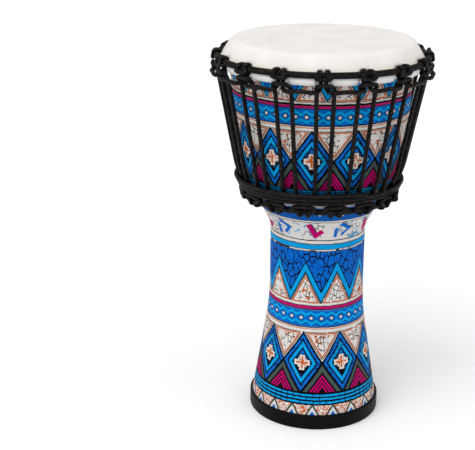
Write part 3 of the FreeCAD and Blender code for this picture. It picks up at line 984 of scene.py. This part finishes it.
# The skin is stained cream just above the crown ring. Under the ring it is painted whiter:
# painted light, standing in for the light that the ring's shade keeps off it.
SKIN = surface("drum_skin", (colour(232, 229, 227), colour(226, 222, 218)),
               scale=30, roughness=(0.5, 0.72), grain=900, depth=0.12 * MM,
               band=(colour(230, 224, 211), colour(252, 250, 249), 0.3846, 3 * MM),
               Specular_IOR_Level=0.2)
RUBBER = surface("rubber", (colour(2, 1, 2), colour(8, 5, 7)),
                 scale=60, roughness=(0.4, 0.6), grain=1500, depth=0.12 * MM,
                 Specular_IOR_Level=0.09)
STEEL = surface("ring_steel", (colour(120, 120, 124), colour(70, 70, 74)),
                scale=300, roughness=(0.3, 0.5), grain=1500, depth=0.05 * MM, Metallic=1.0)
SHELL = surface("moulded_shell", (colour(34, 33, 34), colour(52, 50, 50)),
                scale=90, roughness=(0.5, 0.75), grain=700, depth=0.2 * MM)

for node, material in (("shell", SHELL), ("rubber_foot", RUBBER), ("crown_ring", STEEL),
                       ("bottom_ring", STEEL), ("flesh_hoop", STEEL)):
    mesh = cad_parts[node].data
    mesh.materials.clear()
    mesh.materials.append(material)

# ---- ropes and rings ----

cradle = braided("cradle_rope", along_spline(cradle_route()), ROPE_RADIUS, "crown", ring=CROWN)
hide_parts("crown_cradle_rope")

lacing = braided("lacing_rope", along_spline(tension_route()), ROPE_RADIUS, None, ring=BASE)
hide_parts("tension_rope")
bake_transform(lacing)

winding = braided("spare_winding", along_spline(surplus_route()), ROPE_RADIUS, "drum")
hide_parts("surplus_rope")

for ring, name, node, body in ((CROWN, "crown_braid", "crown_ring_sleeve", "crown"),
                               (BASE, "bottom_braid", "bottom_ring_sleeve", "drum")):
    sleeve = braided(name, ring_line(ring), SLEEVE_RADIUS, body, SLEEVE_STRANDS,
                     closed=True)
    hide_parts(node)

low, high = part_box("surplus_rope_knot")
first, second = surplus_route()[:2]
knot_line = along_spline(overhand((low + high) / 2, first - second))
winding_knot = braided("spare_winding_knot", knot_line, KNOT_ROPE_RADIUS, "drum")
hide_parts("surplus_rope_knot")

middle = CROWN.beside(CRADLE_JOINT, 0, 5.4, -13.6)
knot_line = along_spline(overhand(middle, polar(1, CRADLE_JOINT + 90, 0)))
joining_knot = braided("joining_knot", knot_line, KNOT_ROPE_RADIUS, "crown")
tail_line = along_spline([middle, middle.lerp(CROWN.beside(CRADLE_JOINT, 0.5, 5.6, 0), 0.5),
                          CROWN.beside(CRADLE_JOINT, 0.8, 5.6, 0),
                          CROWN.beside(CRADLE_JOINT, 1.4, 5.0, 4.5)])
braided("joining_tail", tail_line, ROPE_RADIUS, "crown")
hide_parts("cradle_rope_tail")

# ---- cloth and skin ----

wrapped("bowl_cloth", "bowl_wrap", bowl_cloth())
wrapped("stem_cloth", "stem_wrap", stem_cloth())
head = skin()
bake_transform(head)

# ---- floor, light and camera ----

FLOOR_HALF = 10.0
FLOOR = surface("floor_paint", (colour(254, 254, 254), colour(252, 252, 252)),
                scale=3, roughness=(0.75, 0.9), grain=300, depth=0.05 * MM,
                Specular_IOR_Level=0.1)
floor_mesh = bpy.data.meshes.new("floor")
floor_mesh.from_pydata([(x * FLOOR_HALF, y * FLOOR_HALF, 0) for x, y in
                        ((-1, -1), (1, -1), (1, 1), (-1, 1))], [], [(0, 1, 2, 3)])
floor_mesh.materials.append(FLOOR)
floor = bpy.data.objects.new("floor", floor_mesh)
bpy.context.scene.collection.objects.link(floor)


def soft_sun(name, bearing, rise, strength, spread):
    """An even, soft light from a bearing and a height, in degrees."""
    light = bpy.data.lights.new(name, "SUN")
    light.energy = strength
    light.angle = math.radians(spread)
    holder = bpy.data.objects.new(name, light)
    bpy.context.scene.collection.objects.link(holder)
    tilt = math.radians(rise)
    holder.location = polar(2 * math.cos(tilt), bearing, 2 * math.sin(tilt))
    holder.rotation_euler = (-holder.location).to_track_quat("-Z", "Y").to_euler()


soft_sun("key", bearing=-35, rise=55, strength=1.5, spread=50)
soft_sun("fill", bearing=60, rise=40, strength=0.35, spread=60)

world = bpy.data.worlds.new("studio")
world.use_nodes = True
backdrop = world.node_tree.nodes["Background"]
backdrop.inputs["Color"].default_value = (1, 1, 1, 1)
backdrop.inputs["Strength"].default_value = 0.66
bpy.context.scene.world = world
bpy.context.scene.view_settings.view_transform = "Standard"

# The camera stands in front of the drum, turned left, dipped down and tilted a little.
CAMERA_PLACE = Vector((0, -1.174, 0.5985))
CAMERA_TURN, CAMERA_DIP, CAMERA_ROLL = (math.radians(angle) for angle in (4.1, 18.68, 0.23))
LENS, SENSOR_WIDTH = 89.5, 36
ahead = Vector((-math.sin(CAMERA_TURN) * math.cos(CAMERA_DIP),
                math.cos(CAMERA_TURN) * math.cos(CAMERA_DIP), -math.sin(CAMERA_DIP)))
level = Vector((math.cos(CAMERA_TURN), math.sin(CAMERA_TURN), 0))
rise = level.cross(ahead)
right = level * math.cos(CAMERA_ROLL) + rise * math.sin(CAMERA_ROLL)
upright = rise * math.cos(CAMERA_ROLL) - level * math.sin(CAMERA_ROLL)
lens = bpy.data.cameras.new("camera")
lens.sensor_width = SENSOR_WIDTH
lens.lens = LENS
camera = bpy.data.objects.new("camera", lens)
bpy.context.scene.collection.objects.link(camera)
axes = Matrix((right, upright, -ahead)).transposed().to_4x4()
camera.matrix_world = Matrix.Translation(CAMERA_PLACE) @ axes
bpy.context.scene.camera = camera
